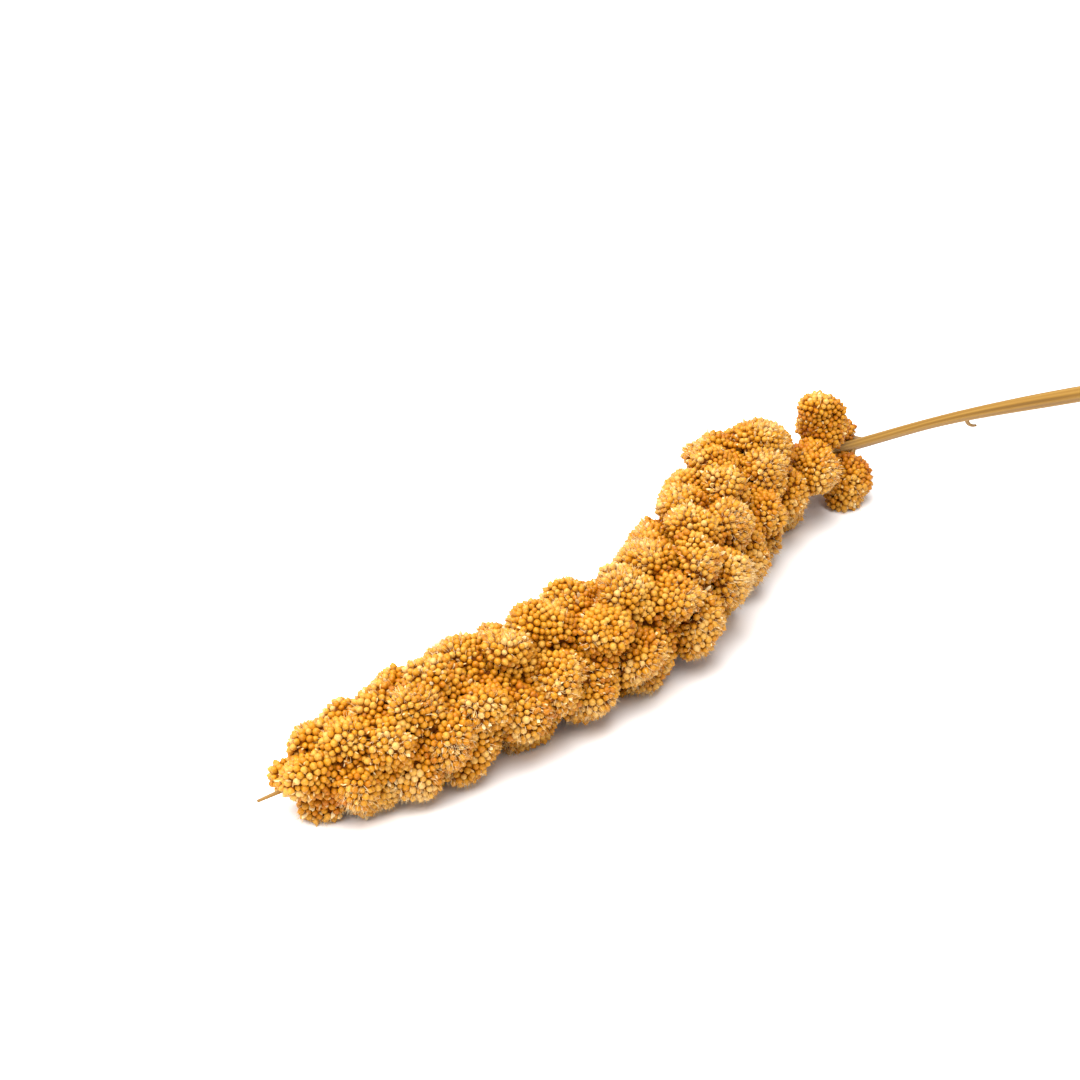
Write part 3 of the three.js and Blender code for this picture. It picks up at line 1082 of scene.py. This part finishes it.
def straw_material():
    """Dry straw: streaks that run along the stalk, with painted shade in its grooves."""
    material, tree, shader = new_material("dry_straw", 0.5)
    section = add(tree, "ShaderNodeAttribute", out="Vector", attribute_name="section")
    place = add(tree, "ShaderNodeTexCoord", out="Object")
    across = scaled(tree, section, STREAKS_AROUND)
    lengthwise = scaled(tree, place, STREAK_CHANGE)
    laid = vector_sum(tree, "ADD", across, lengthwise)
    streak = add(tree, "ShaderNodeTexNoise", {"Vector": laid, "Scale": 1.0, "Detail": 3.0})
    # Painted shade: the colour is darker in the grooves between the ridges.
    ridge = spread(tree, mark(tree, "ridge"), -1.0, 1.0, -0.08, 0.08)
    stops = [
        (0.25, (110, 76, 18)),
        (0.45, (135, 95, 26)),
        (0.6, (150, 109, 36)),
        (0.8, (168, 129, 62)),
    ]
    body = ramp(tree, sum_of(tree, "ADD", streak, ridge), stops)
    tree.links.new(body, shader.inputs["Base Color"])
    add_bump(tree, shader, streak, 0.15, 0.4)
    return material


def pith_material():
    material, tree, shader = new_material("pale_pith", 0.85)
    body = ramp(tree, noise(tree, 0.3), [(0.3, (214, 184, 128)), (0.7, (244, 228, 190))])
    tree.links.new(body, shader.inputs["Base Color"])
    return material


def floor_material():
    material, tree, shader = new_material("white_floor", 0.6)
    body = ramp(tree, noise(tree, 200), [(0.3, (246, 246, 246)), (0.7, (250, 250, 250))])
    tree.links.new(body, shader.inputs["Base Color"])
    shader.inputs["Specular IOR Level"].default_value = 0.2
    return material


# Pieces


def add_piece(name, mesh, node):
    """Shows a mesh in place of a solid."""
    mesh.name = name
    piece = bpy.data.objects.new(name, mesh)
    bpy.context.scene.collection.objects.link(piece)
    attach(piece, "root")
    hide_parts(node)


def dress(node, bodies, trees, ends):
    """The bed, grains, bristles and husks of one or more bodies, with the grains parted at ends along X."""
    bed = run_tree(bed_mesh(bodies), trees["bed"])
    places = run_tree(bed, trees["places"])
    add_piece(node + "_chaff", bed, node)
    limits = [-FAR, *ends, FAR]
    for i, (start, end) in enumerate(zip(limits, limits[1:]), 1):
        name = f"{node}_grains_{i}" if ends else f"{node}_grains"
        add_piece(name, run_tree(places, trees["grains"], Start=start, End=end), node)
    add_piece(node + "_bristles", run_tree(bed, trees["bristles"]), node)
    add_piece(node + "_husks", run_tree(bed, trees["husks"]), node)


def make_seed_head():
    trees = {
        "bed": bed_tree(chaff_material()),
        "places": grain_places_tree(),
        "grains": grain_tree(grain_material()),
        "bristles": bristle_tree(bristle_material()),
        "husks": husk_tree(husk_material()),
    }
    ends = [(end - shift.x) * MM for end in PIECE_ENDS]
    dress("seed_head", [*cluster_bodies(dense_clusters()), core_body()], trees, ends)
    for i, cluster in enumerate(loose_clusters(), 1):
        dress(f"basal_cluster_{i}", cluster_bodies([cluster]), trees, [])


def make_stem():
    paths = [rachis_path(), stub_path(), *[branchlet_path(c) for c in loose_clusters()]]
    stalks = run_tree(path_mesh(paths), stalk_tree(straw_material(), pith_material()))
    add_piece("stem_straw", stalks, "stem")


# Floor, light and camera


def make_floor():
    signs = [(-1, -1), (1, -1), (1, 1), (-1, 1)]
    corners = [(FLOOR_HALF * x, FLOOR_HALF * y, 0) for x, y in signs]
    mesh = bpy.data.meshes.new("floor")
    mesh.from_pydata(corners, [], [(0, 1, 2, 3)])
    mesh.materials.append(floor_material())
    floor = bpy.data.objects.new("floor", mesh)
    bpy.context.scene.collection.objects.link(floor)


def make_room():
    """White light from all round."""
    world = bpy.data.worlds.new("white_room")
    world.use_nodes = True
    background = world.node_tree.nodes["Background"]
    background.inputs["Color"].default_value = (1, 1, 1, 1)
    background.inputs["Strength"].default_value = ROOM_BRIGHTNESS
    bpy.context.scene.world = world
    bpy.context.scene.view_settings.view_transform = "Standard"


def make_light():
    """A large soft lamp overhead, aimed at the origin."""
    light = bpy.data.lights.new("soft_top", "AREA")
    light.shape = "DISK"
    light.size = LIGHT_SIZE
    light.energy = LIGHT_POWER
    lamp = bpy.data.objects.new("soft_top", light)
    lamp.location = LIGHT_PLACE
    lamp.rotation_euler = (-Vector(LIGHT_PLACE)).to_track_quat("-Z", "Y").to_euler()
    bpy.context.scene.collection.objects.link(lamp)


def make_camera():
    camera = bpy.data.cameras.new("camera")
    camera.lens = CAMERA_LENS
    viewer = bpy.data.objects.new("camera", camera)
    viewer.location = to_frame(Vector(CAMERA_PLACE))
    viewer.rotation_euler = CAMERA_TURN
    bpy.context.scene.collection.objects.link(viewer)
    bpy.context.scene.camera = viewer


make_camera()
make_room()
make_light()
make_floor()
make_stem()
make_seed_head()
